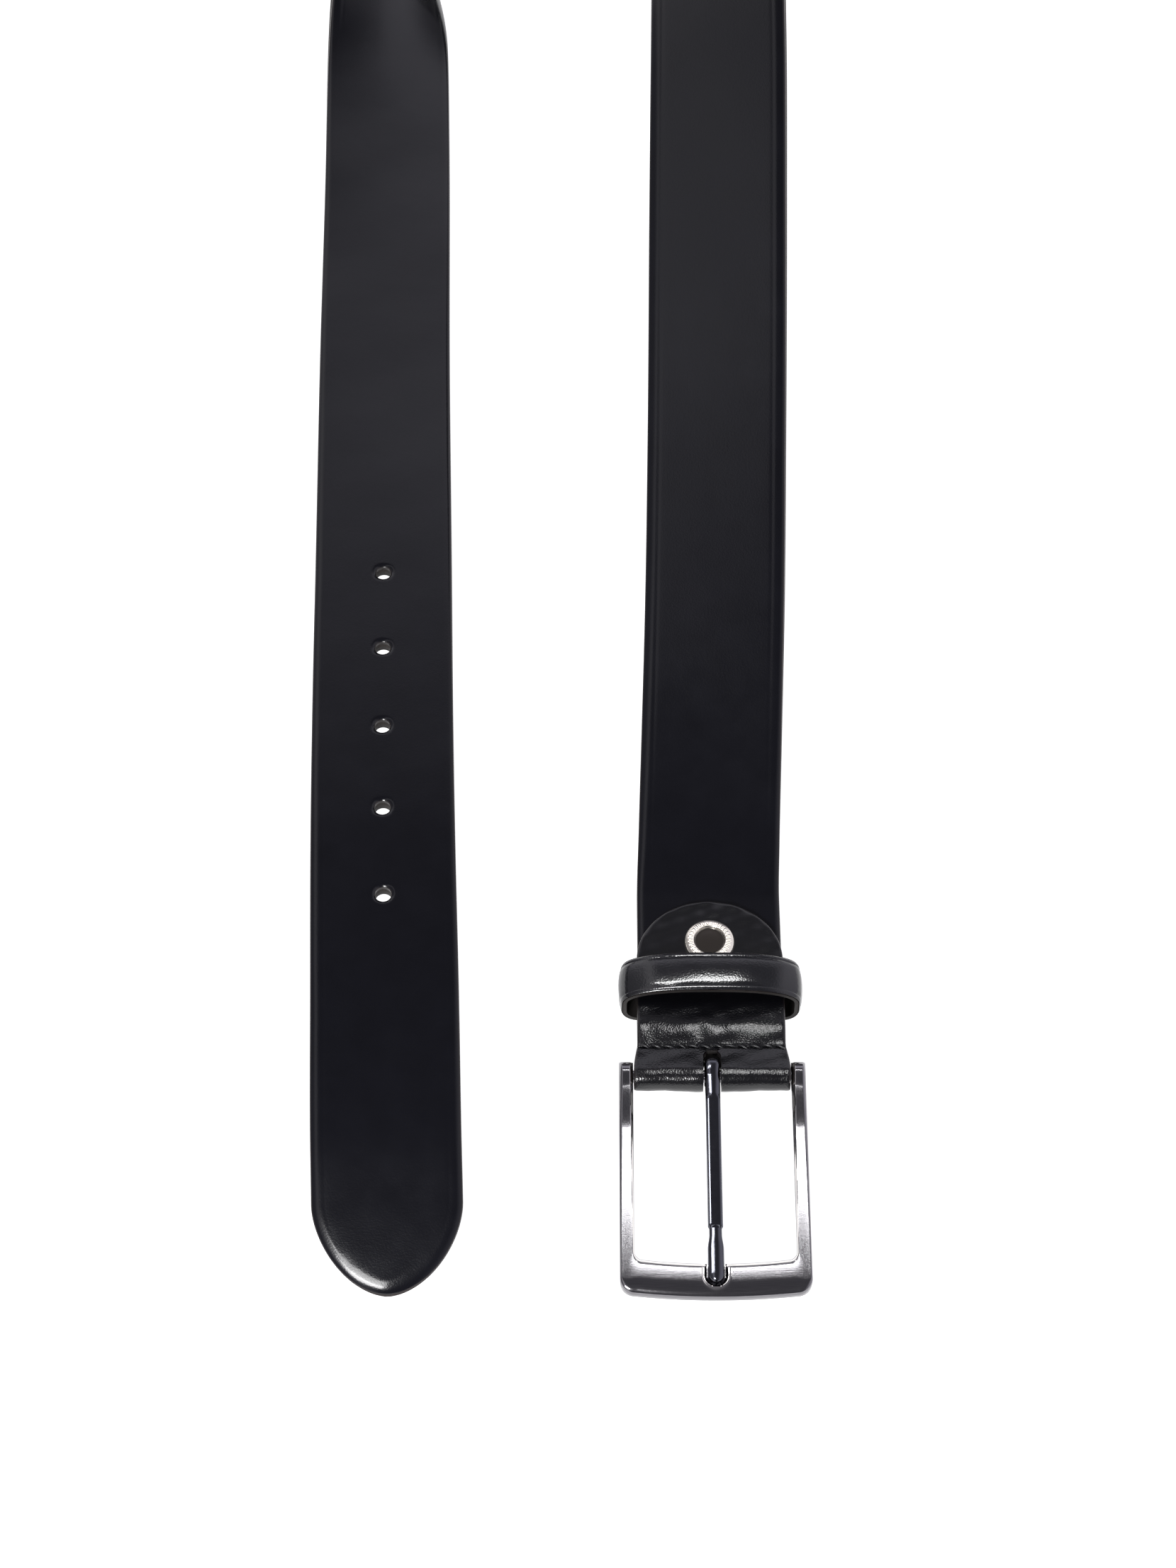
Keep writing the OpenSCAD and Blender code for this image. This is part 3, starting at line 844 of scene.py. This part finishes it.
def keeper_layer(name, near, far, slot, material, padded):
    """A closed band between two depths; a padded one swells and has a lip along each edge."""
    loop, normal = keeper_ring()
    half = np.array([0, 0.06, 0.2, 0.45, 0.75, 0.95, 1.15, 1.4, 1.8, 2.4, 3.1, 4.0])
    y = np.concatenate([half, [BAND_W / 2], BAND_W - half[::-1]])
    d = np.minimum(y, BAND_W - y)
    outer_depth, inner_depth = (np.full((len(loop), len(y)), depth) for depth in (near, far))
    if padded:
        dome = DOME * np.clip(1 - d / (BAND_W / 2), 0, 1) ** 2.2
        groove = LIP_DEPTH * bell(d - LIP_AT, LIP_W)
        ripple = 0.05 * np.sin(np.arange(len(loop)) * 0.45)[:, None] * (d > 1.4)
        outer_depth = near + dome + groove + quarter_round(d, 0.6, 0.35) + ripple
    sides = []
    for depth in (outer_depth, inner_depth):
        p = loop[:, None, :] - normal[:, None, :] * depth[..., None]
        sides.append(np.stack(np.broadcast_arrays(
            BAR_AT[0] + p[..., 0], BAR_AT[1] + KEEPER_AT + y[None, :], p[..., 1]), axis=-1))
    section = np.concatenate([sides[0], sides[1][:, ::-1]], axis=1)
    edge = np.broadcast_to(np.concatenate([(d < 0.02) * 0.5, np.full(len(y), 0.6)]),
                           section.shape[:2])
    piece = new_piece(name, section.reshape(-1, 3),
                      grid_faces(*section.shape[:2], wrap_rows=True, wrap_columns=True),
                      attributes={"edge": edge})
    settle(piece, "keeper", slot, material, name)


COVER = KEEPER_WALL - LINING_T - PAD_T
keeper_layer("keeper_cover", 0.0, COVER, "chape_leather", keeper_leather, True)
keeper_layer("keeper_core", COVER, COVER + PAD_T, "filler", filler_board, False)
keeper_layer("keeper_lining", COVER + PAD_T, KEEPER_WALL, "lining_leather", lining_leather, False)
staple_wire = plated_material("staple_wire", (0.55, 0.55, 0.56), 0.25)
wear("keeper_staple", staple_wire)

# %% [markdown]
# The buckle's frame
# ------------------
# The frame is a casting that runs from one ear, round two corners, to the other ear. Two outlines
# guide it, one for the window and one for the outside, with the same steps along both. The section
# is stretched between them: a polished chamfer inside, a gently crowned top and a rounded shoulder
# outside. A notch for the prong's tip is pressed into the outer bar.

# %% Buckle outline
BUCKLE_W, REACH, RAIL_W, OUTER_BAR, FRAME_T = 44.4, 56.5, 3.4, 8.3, 3.4
EAR_R, OUT_R, IN_R, BOW = 3.5, 3.5, 2.0, 1.0
NOTCH_W, NOTCH_REACH, NOTCH_DEPTH = 5.0, 54.0, 1.0
NECK = 15.0
TILT = np.arcsin((BAR_AT[2] - FRAME_T / 2) / REACH)


def buckle_outlines():
    """The window's and the outside's outline, from the left ear's end to the right ear's end.

    Each has the same number of points on the rail, round the corner and along the outer bar. The
    bar bows out by a millimetre in the middle: a parabola added to its distance from the ear.
    """
    out_x, in_x = BUCKLE_W / 2, BUCKLE_W / 2 - RAIL_W
    out_y, in_y = -REACH + BOW, -REACH + OUTER_BAR + BOW
    ear = EAR_R * np.cos(np.linspace(0, np.pi / 2, 14))
    share = np.linspace(0, 1, 40)[1:]
    angle = np.linspace(0, np.pi / 2, 14)[1:]
    near_middle = np.arange(-4.0, 0.01, 0.2)
    halves = []
    for edge_x, edge_y, r in ((in_x, in_y, IN_R), (out_x, out_y, OUT_R)):
        rail = np.concatenate([ear, (edge_y + r) * share])
        corner_x = -(edge_x - r) - r * np.cos(angle)
        corner_y = edge_y + r - r * np.sin(angle)
        bar_x = np.concatenate([np.linspace(-(edge_x - r), -4.0, 22)[1:-1], near_middle])
        bar_y = edge_y - BOW * (1 - (bar_x / (edge_x - r)) ** 2)
        x = np.concatenate([np.full(len(rail), -edge_x), corner_x, bar_x])
        y = np.concatenate([rail, corner_y, bar_y])
        whole_x = np.concatenate([x, -x[-2::-1]])
        whole_y = np.concatenate([y, y[-2::-1]])
        halves.append(np.stack([whole_x, whole_y], axis=1))
    on_bar = np.concatenate([np.zeros(len(rail)), ease(np.linspace(0, 1, len(angle))),
                             np.ones(len(bar_x))])
    return halves[0], halves[1], np.concatenate([on_bar, on_bar[-2::-1]])


def in_buckle(x, y, h):
    """Points of the buckle's sloping plane, given from the bar's middle, in the whole frame."""
    cos, sin = np.cos(TILT), np.sin(TILT)
    return np.stack(np.broadcast_arrays(x, y * cos - h * sin, y * sin + h * cos), axis=-1) + BAR_AT


# %% Buckle frame
def buckle_frame():
    """The section is swept between the outlines; its heights are shares of half the thickness."""
    window, outside, on_bar = buckle_outlines()
    across = np.concatenate([[0, 0.012, 0.03, 0.06, 0.09, 0.12], np.linspace(0.15, 0.85, 24),
                             [0.88, 0.91, 0.94, 0.965, 0.985, 1.0]])
    p = window[:, None] + (outside - window)[:, None] * across[:, None]
    width = np.linalg.norm(outside - window, axis=1)[:, None]
    d_in, d_out = across * width, (1 - across) * width
    y = p[..., 1]
    ear = np.sqrt(np.clip(EAR_R**2 - y**2, 0, None))
    neck = ease((y + NECK) / (NECK - 2.0))
    half = np.maximum(FRAME_T / 2 * (1 - ease((y - 1.0) / 1.5)),
                      np.where(y > -EAR_R, ear, 0.0))
    half = np.where(y > -NECK, np.maximum(half, FRAME_T / 2 + (EAR_R * 0.8 - FRAME_T / 2) * neck
                                          * (y < 0)), half)
    half = np.where(y > 0, ear, half)
    bar = on_bar[:, None]
    chamfer = (0.6 + 0.5 * bar) * np.clip(1 - d_in / (0.75 + 0.4 * bar), 0, 1)
    shoulder = quarter_round(d_out, 0.9 + 3.0 * bar, 0.7 + 0.95 * bar)
    crown = 0.10 * ((2 * across - 1) ** 2)
    top = 1 - (chamfer + shoulder + crown) / (FRAME_T / 2)
    foot = quarter_round(np.minimum(d_in, d_out), 0.5, 0.35)
    bottom = -(1 - foot / (FRAME_T / 2))
    line_y = np.clip(y, -NOTCH_REACH + NOTCH_W / 2, None)
    from_notch = np.hypot(p[..., 0], y - line_y) - NOTCH_W / 2
    in_notch = ease((0.25 - from_notch) / 0.6) * bar
    rim = 0.14 * bell(from_notch - 0.45, 0.3) * bar
    high = top * half
    floor = FRAME_T / 2 - NOTCH_DEPTH - 0.1
    high = high * (1 - in_notch) + np.minimum(high, floor) * in_notch + rim * (d_in > 0.3)
    points = np.concatenate([in_buckle(p[..., 0], y, high),
                             in_buckle(p[..., 0], y, bottom * half)[:, ::-1]], axis=1)
    polish = np.maximum(np.clip(1.3 - d_in / (0.8 + 0.35 * bar), 0, 1)
                        * ease((d_in - 0.12) / 0.1),
                        bell(from_notch - 0.3, 0.55) * bar)
    polish = np.concatenate([polish, np.zeros_like(polish)], axis=1)
    bars = np.broadcast_to(bar, polish.shape)
    piece = new_piece("buckle_frame", points.reshape(-1, 3),
                      grid_faces(*points.shape[:2], wrap_columns=True),
                      smooth_angle=38.0, attributes={"polish": polish, "bar": bars})
    settle(piece, "buckle", "satin_gunmetal", satin_gunmetal, "buckle_frame")


buckle_frame()
wear("buckle_bar", satin_gunmetal)

# %% [markdown]
# The prong
# ---------
# The prong is a bar bent round the buckle's bar and drawn out straight. It is round in the chape's
# slot, flat-topped with bevelled sides along its length, and round again past a small shoulder,
# where it lies in the notch. One section formula, blended from a circle to an octagon, is swept
# along the bend and the straight.

# %% Prong
LOOP_R, PRONG_W, PRONG_T, PRONG_REACH = 3.5, 3.6, 2.7, 53.2
BAR_HOLE_R = 1.55
FLAT_FROM, ROD_FROM, SWELL_FROM, TIP_ROUND = 6.4, 39.6, 41.5, 2.0


def prong_section(angle, width, height, flatness):
    """Radius of a rounded section at each angle: an ellipse blended towards a soft octagon.

    The octagon is a smooth maximum of its three pairs of sides, each a distance over a cosine.
    """
    c, s = np.abs(np.cos(angle)), np.abs(np.sin(angle))
    ellipse = 1 / np.sqrt((c / (width / 2)) ** 2 + (s / (height / 2)) ** 2)
    lean = np.radians(37)
    bevel = 0.84 * (width / 2 * np.cos(lean) + height / 2 * np.sin(lean))
    sides = ((c / (width / 2)) ** 16 + (s / (height / 2)) ** 16
             + ((c * np.cos(lean) + s * np.sin(lean)) / bevel) ** 16) ** (-1 / 16)
    return ellipse * (1 - flatness) + sides * flatness


def prong():
    """Sweep the section round the bar's eye and along the straight to the tip."""
    wall = LOOP_R - BAR_HOLE_R
    bend = np.radians(np.linspace(-150, 90, 48))
    middle_r = BAR_HOLE_R + wall / 2
    top = LOOP_R - 0.1
    closing = np.sin(np.linspace(0.06, 1, 14) * np.pi / 2)
    straight = np.concatenate([np.linspace(0.6, 8, 14), np.linspace(8.6, 38, 30),
                               np.linspace(38.3, 44, 26), np.linspace(44.6, 51.2, 12),
                               PRONG_REACH - TIP_ROUND * (1 - closing)])
    y = np.concatenate([middle_r * np.cos(bend), -straight])
    along = np.concatenate([np.zeros(len(bend)), straight])
    on_shaft = ease((along - 0.5) / 6)
    rod = ease((along - ROD_FROM) / 0.5)
    swell = ease((along - SWELL_FROM) / 3.5)
    to_end = np.clip((PRONG_REACH - along) / TIP_ROUND, 0, 1)
    tip = np.sqrt(np.clip(1 - (1 - to_end) ** 2, 1e-4, 1))
    flat = ease((along - FLAT_FROM) / 0.5) * (1 - rod)
    start = ease((bend - bend[0]) / 0.5)
    taper = np.concatenate([0.35 + 0.65 * start, np.ones(len(straight))])
    height = (wall + (PRONG_T - 0.25 - wall) * on_shaft - 0.45 * rod * (1 - swell)) * tip * taper
    width = (PRONG_W - 0.6 * rod * (1 - swell) + 0.2 * swell) * tip * taper
    droop = 0.55 * rod + 0.05 * swell
    shaft_middle = top - droop - (height / np.maximum(tip, 0.2)) / 2
    middle = np.where(along > 0, np.minimum(shaft_middle, middle_r + 0.1), 0)
    middle[: len(bend)] = middle_r * np.sin(bend)
    centre = np.stack([y, middle], axis=1)
    slope = unit(np.gradient(centre, axis=0))
    outward = np.stack([slope[:, 1], -slope[:, 0]], axis=1)
    outward = np.where(along[:, None] > 0, [[0.0, 1.0]], outward)
    outward[: len(bend)] = np.stack([np.cos(bend), np.sin(bend)], axis=1)
    turn = np.linspace(0, 2 * np.pi, 48, endpoint=False)[None, :]
    radius = prong_section(turn, width[:, None], height[:, None], flat[:, None] * 0.95)
    x = radius * np.cos(turn)
    h = radius * np.sin(turn)
    back = 1.1 * bell(bend - np.radians(35), np.radians(42))
    back = np.concatenate([back, np.zeros(len(straight))])[:, None]
    h = h + back * ease(h / height[:, None] + 0.5)
    p = centre[:, None, :] + outward[:, None, :] * h[..., None]
    points = in_buckle(x, p[..., 0], p[..., 1])
    rows, around = points.shape[:2]
    faces = [grid_faces(rows, around, wrap_columns=True), end_caps(rows, around)]
    piece = new_piece("prong", points.reshape(-1, 3), np.concatenate(faces), smooth_angle=32.0)
    settle(piece, "prong", "black_nickel", black_nickel, "prong")


prong()

# %% [markdown]
# Table and light
# ---------------
# The belt lies on a white table that glows a little, as a light table does, so that the ground
# stays white under it. The room is dark, with a bright band on its far wall and a pale wall on
# either side. Dark leather and metal show mostly what they mirror, so each lamp is placed for the
# line of light that it draws, and all but the first reach only the pieces named with them.

# %% Table
TABLE_SIZE = 40.0


def table():
    """A pale floor under the belt."""
    mesh = bpy.data.meshes.new("table")
    corner = TABLE_SIZE / 2
    mesh.from_pydata([(-corner, -corner, 0), (corner, -corner, 0), (corner, corner, 0),
                      (-corner, corner, 0)], [], [(0, 1, 2, 3)])
    floor = add_object("table", mesh)
    material, _, _ = new_material("white_table", Base_Color=(0.6, 0.6, 0.6), Roughness=0.9,
                                  Emission_Color=(1.0, 1.0, 1.0), Emission_Strength=0.92)
    mesh.materials.append(material)


table()


# %% Lamps
def lamp(name, at, target, size, power, reaches=()):
    """A rectangular soft light at a place, turned towards a target; all in metres."""
    data = bpy.data.lights.new(name, "AREA")
    data.shape = "RECTANGLE"
    data.size, data.size_y = size
    data.energy = power
    light = add_object(name, data)
    light.location = at
    light.rotation_euler = (Vector(target) - Vector(at)).to_track_quat("-Z", "Y").to_euler()
    if reaches:
        light.light_linking.receiver_collection = bpy.data.collections.new(name + "_reach")
        for reached in reaches:
            light.light_linking.receiver_collection.objects.link(pieces[reached])
    print("lamp", name, power, "W")


lamp("front_left", (-0.34, -1.10, 0.80), (0.0, -0.22, 0.0), (0.35, 0.25), 10.0)
lamp("rail_strip", (0.055, -0.056, 0.473), (0.055, -0.0559, 0.0), (0.30, 0.034), 0.36,
     ["buckle_frame"])
lamp("prong_glint", (-0.22, -0.05, 0.45), (-0.22, -0.0499, 0.0), (0.34, 0.10), 1.2,
     ["prong"])
lamp("chape_glint", (0.085, -0.15, 0.50), (0.085, -0.1499, 0.0), (0.05, 0.26), 0.58,
     ["chape_cover", "needle_thread"])
lamp("keeper_glint", (0.0, -0.13, 0.49), (0.04, -0.187, 0.01), (0.27, 0.12), 2.2,
     ["keeper_cover"])
lamp("cap_glow", (0.05, -0.05, 0.45), (0.04, -0.173, 0.01), (0.60, 0.60), 1.2,
     ["snap_cap"])
lamp("tip_glint", (-0.152, -0.619, 0.459), (-0.035, -0.262, 0.0), (0.15, 0.15), 1.5,
     ["strap_face"])


# %% Room
def room():
    """A dark room with a bright band on its far wall and a pale wall on either side.

    A colour ramp on how far back a ray looks, blended into one colour where it looks left and into
    another where it looks right.
    """
    world = bpy.data.worlds.new("room")
    world.use_nodes = True
    tree = world.node_tree
    place = tree.nodes.new("ShaderNodeTexCoord")
    look = Socket(tree, place.outputs["Generated"])
    right = look.node("ShaderNodeSeparateXYZ", None, {0: look}, output=0)
    back = look.node("ShaderNodeSeparateXYZ", None, {0: look}, output=1)
    glow = [(0.0, 0.16), (0.45, 0.16), (0.57, 0.19), (0.64, 0.33), (0.70, 0.60), (0.74, 1.0),
            (0.83, 0.90), (0.90, 0.20), (1.0, 0.14)]
    stops = [(at, (0.97 * level, 0.95 * level, 1.06 * level)) for at, level in glow]
    shade = back.node("ShaderNodeValToRGB", {"stops": stops}, {0: back})
    left = right * -1.0
    wall = left.between(0.22, 0.37) * (1.0 - left.between(0.42, 0.60) * 0.8)
    shade = mix_colors(wall, shade, (0.97, 0.95, 1.0))
    shade = mix_colors(right.between(0.35, 0.70), shade, (0.80, 0.78, 0.86))
    tree.links.new(shade.output, tree.nodes["Background"].inputs["Color"])
    bpy.context.scene.world = world


room()
